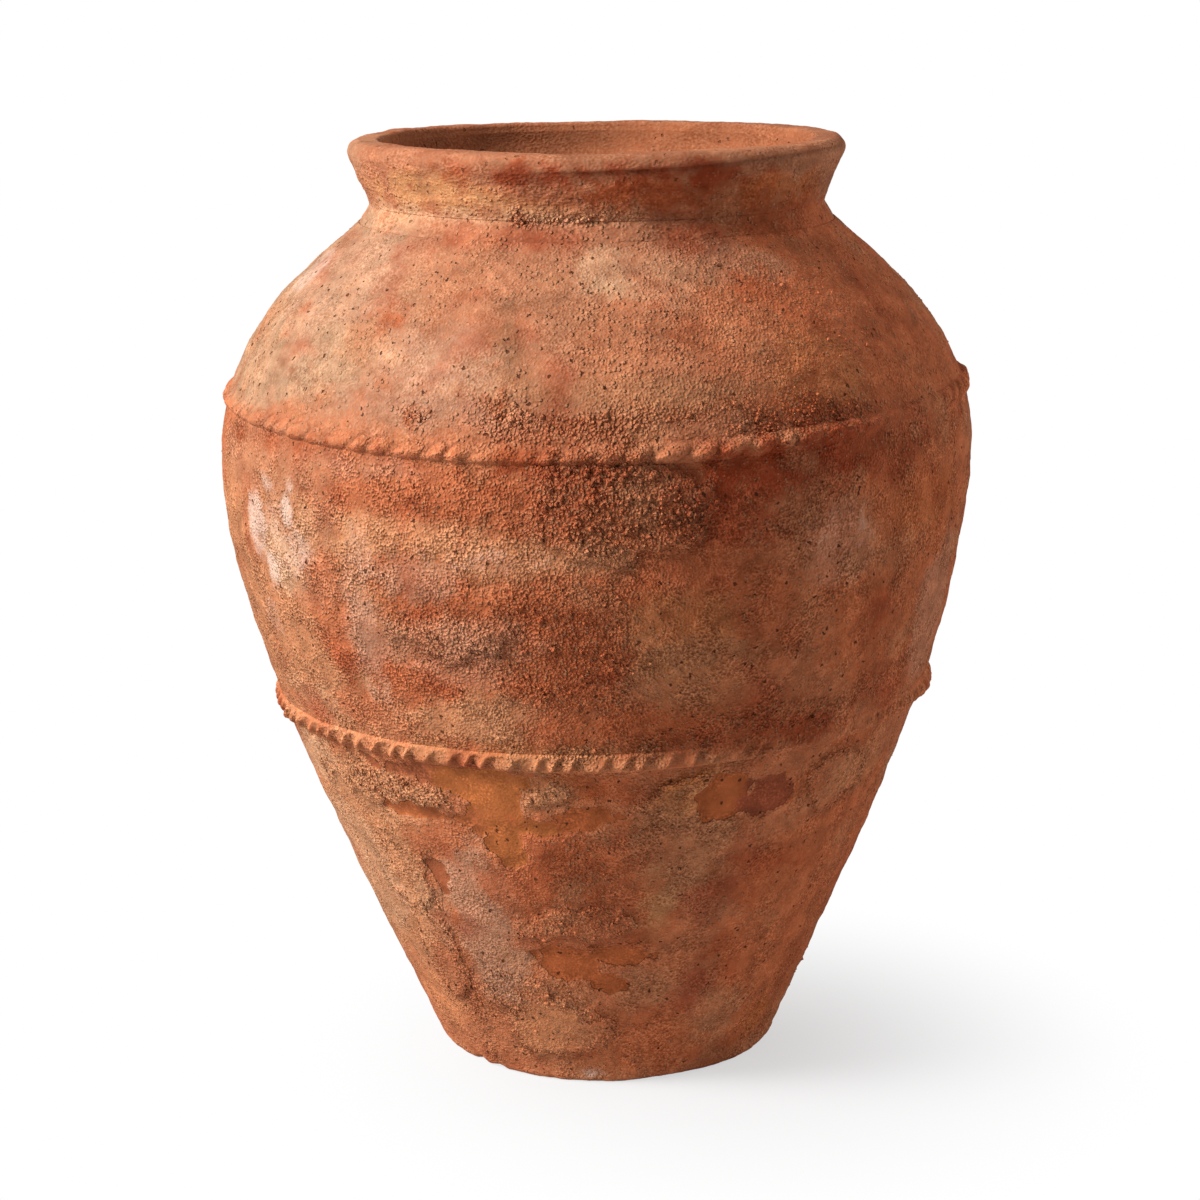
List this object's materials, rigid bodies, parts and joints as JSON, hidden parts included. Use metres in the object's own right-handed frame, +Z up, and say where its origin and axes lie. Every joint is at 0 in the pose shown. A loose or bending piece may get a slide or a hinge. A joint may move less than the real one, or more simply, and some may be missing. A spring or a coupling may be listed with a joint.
{
  "type": "terracotta jar",
  "caption": "Tall hand-built terracotta storage jar with a narrow foot, full belly, short flared neck, thick lip and finger-pressed rope cordons over its seams.",
  "frame": {"origin": "centre of the foot, on the ground that the jar stands on", "axes": "+Z up along the jar's axis; the weathered front of the jar faces -Y and +X is to the right of it"},
  "size_m": [0.4864, 0.4894, 0.6],
  "materials": {
    "foot_clay": "worn unglazed earthenware, rough",
    "inner_clay": "plain unglazed earthenware with smoothing marks",
    "lower_clay": "unglazed earthenware under a flaking earth crust",
    "belly_clay": "unglazed earthenware with an earth crust, iron stains and lime bloom",
    "shoulder_clay": "sandy unglazed earthenware with pits and pale bloom",
    "neck_clay": "sandy unglazed earthenware with iron stains",
    "rim_clay": "smooth worn earthenware",
    "rope_clay": "hand-pressed earthenware, crusted in the hollows"
  },
  "bodies": {
    "root": {"base_slab": "foot_clay", "floor_seam_coil": "inner_clay", "lower_wall": "lower_clay", "lower_rope_cordon": "rope_clay", "belly_wall": "belly_clay", "upper_rope_cordon": "rope_clay", "shoulder_wall": "shoulder_clay", "neck_seam_coil": "neck_clay", "neck_collar": "neck_clay", "rim_coil": "rim_clay"}
  },
  "joints": []
}
